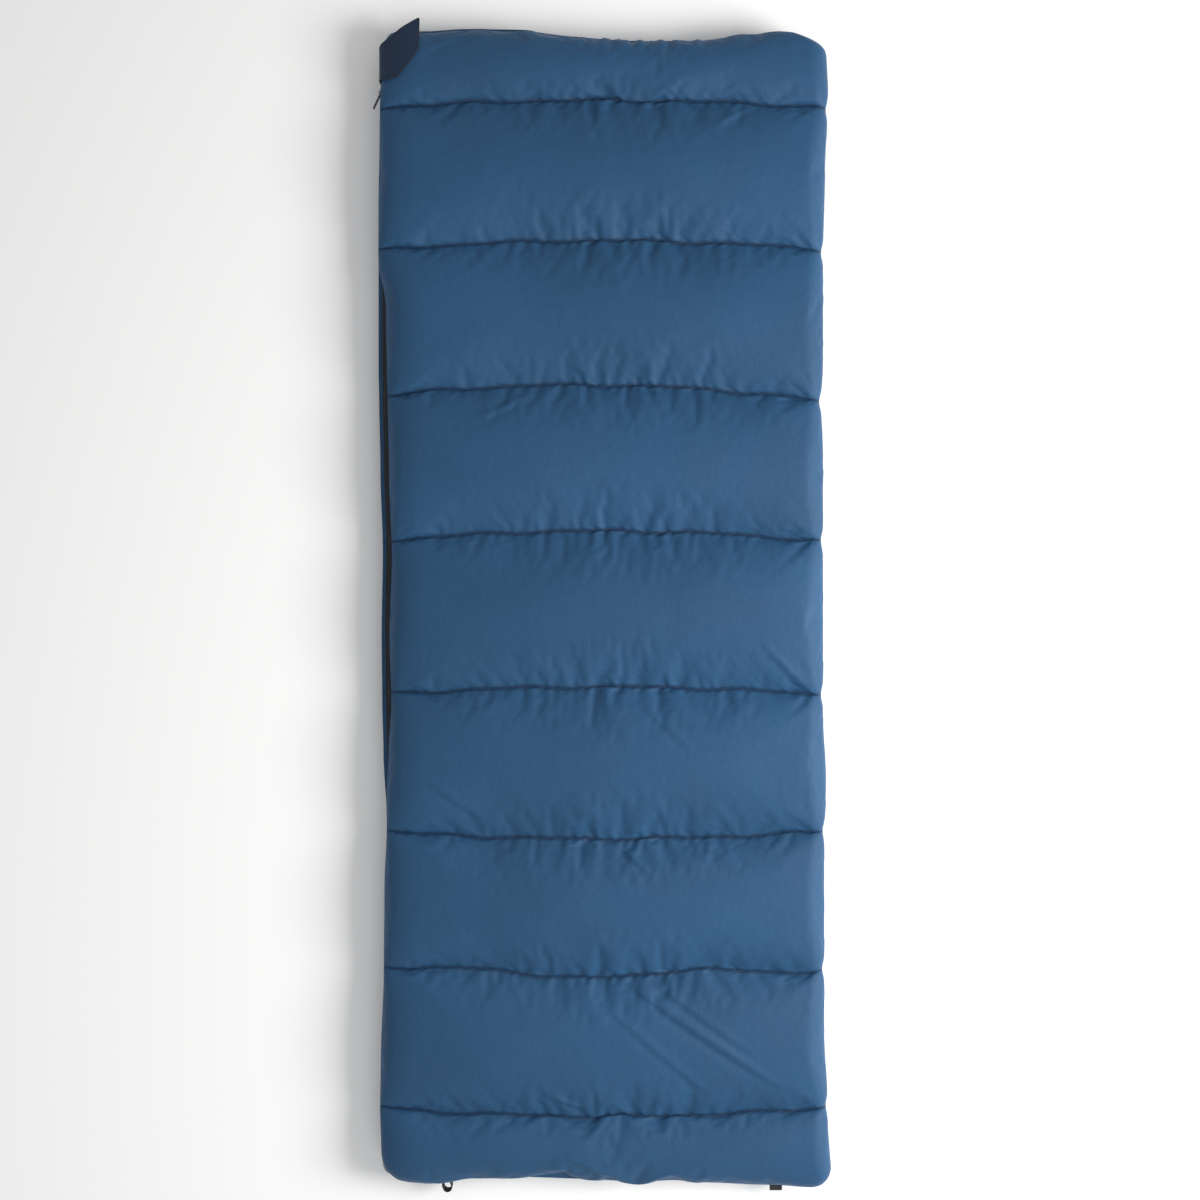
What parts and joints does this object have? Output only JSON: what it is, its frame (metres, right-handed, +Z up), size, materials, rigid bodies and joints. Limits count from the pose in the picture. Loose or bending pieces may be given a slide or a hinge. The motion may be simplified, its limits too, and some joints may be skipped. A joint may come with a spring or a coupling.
{
  "type": "rectangular sleeping bag",
  "caption": "Rectangular quilted sleeping bag lying shut, with an L-shaped two-slider zip, guard flap, folded side and webbing loops at the foot.",
  "frame": {"origin": "middle of the underside, on the surface the bag lies on", "axes": "+Y to the open head end, +X to the folded side, +Z up; the zip is on the -X side and along the foot"},
  "size_m": [0.7482, 1.9215, 0.086],
  "materials": {
    "shell_cloth": "matte plain weave, faint sheen",
    "liner_cloth": "matte brushed weave",
    "batting": "matte loose fibre",
    "tape_cloth": "matte herringbone tape",
    "zip_nylon": "satin moulded nylon coil",
    "zip_metal": "semi-gloss black enamel",
    "flap_cloth": "satin woven",
    "hook_and_loop": "matte pile",
    "webbing": "ribbed woven strap",
    "thread": "twisted thread"
  },
  "bodies": {
    "lower_quilt": {"lower_shell": "shell_cloth", "lower_fill": "batting", "lower_liner": "liner_cloth", "lower_head_facing": "shell_cloth", "lower_stitching": "thread", "lower_zip_tape": "tape_cloth", "lower_zip_chain": "zip_nylon", "lower_top_stop": "zip_metal", "zip_box": "zip_nylon", "loop_patch": "hook_and_loop", "left_loop_stub": "webbing", "right_loop_stub": "webbing", "fold_shell": "shell_cloth", "fold_fill": "batting", "fold_liner": "liner_cloth"},
    "upper_quilt": {"upper_shell": "shell_cloth", "upper_fill": "batting", "upper_liner": "liner_cloth", "upper_head_facing": "shell_cloth", "upper_stitching": "thread", "upper_zip_tape": "tape_cloth", "upper_zip_chain": "zip_nylon", "upper_top_stop": "zip_metal", "zip_pin": "zip_nylon", "flap_base": "flap_cloth"},
    "guard_flap": {"flap_tab": "flap_cloth", "hook_patch": "hook_and_loop"},
    "side_slider": {"side_slider": "zip_metal"},
    "side_pull": {"side_pull": "zip_metal"},
    "foot_slider": {"foot_slider": "zip_metal"},
    "foot_pull": {"foot_pull": "zip_metal"},
    "left_loop": {"left_loop": "webbing"},
    "right_loop": {"right_loop": "webbing"}
  },
  "joints": [
    {"name": "top_open", "type": "hinge", "parent": "lower_quilt", "child": "upper_quilt", "pos_m": [0.327, 0, 0.043], "axis": [0, 1, 0], "range_deg": [0, 179.8], "deforming": ["fold_shell", "fold_fill", "fold_liner"]},
    {"name": "flap_lift", "type": "hinge", "parent": "upper_quilt", "child": "guard_flap", "pos_m": [-0.35, 0.89, 0.07395], "axis": [0, 1, 0], "range_deg": [0, 150]},
    {"name": "side_zip", "type": "slide", "parent": "lower_quilt", "child": "side_slider", "axis": [0, -1, 0], "range_m": [0, 1.7]},
    {"name": "side_pull_swing", "type": "hinge", "parent": "side_slider", "child": "side_pull", "pos_m": [-0.3662, 0.846, 0.043], "axis": [0, 0, -1], "range_deg": [-25, 100]},
    {"name": "foot_zip", "type": "slide", "parent": "lower_quilt", "child": "foot_slider", "axis": [-1, 0, 0], "range_m": [0, 0.58]},
    {"name": "foot_pull_swing", "type": "hinge", "parent": "foot_slider", "child": "foot_pull", "pos_m": [0.27, -0.9462, 0.043], "axis": [0, 0, -1], "range_deg": [0, 170]},
    {"name": "left_loop_bend", "type": "hinge", "parent": "lower_quilt", "child": "left_loop", "pos_m": [-0.257, -0.9592, 0.032], "axis": [0, 0, 1], "range_deg": [-65, 40]},
    {"name": "right_loop_bend", "type": "hinge", "parent": "lower_quilt", "child": "right_loop", "pos_m": [0.289, -0.955, 0.032], "axis": [-1, 0, 0], "range_deg": [0, 75]}
  ]
}
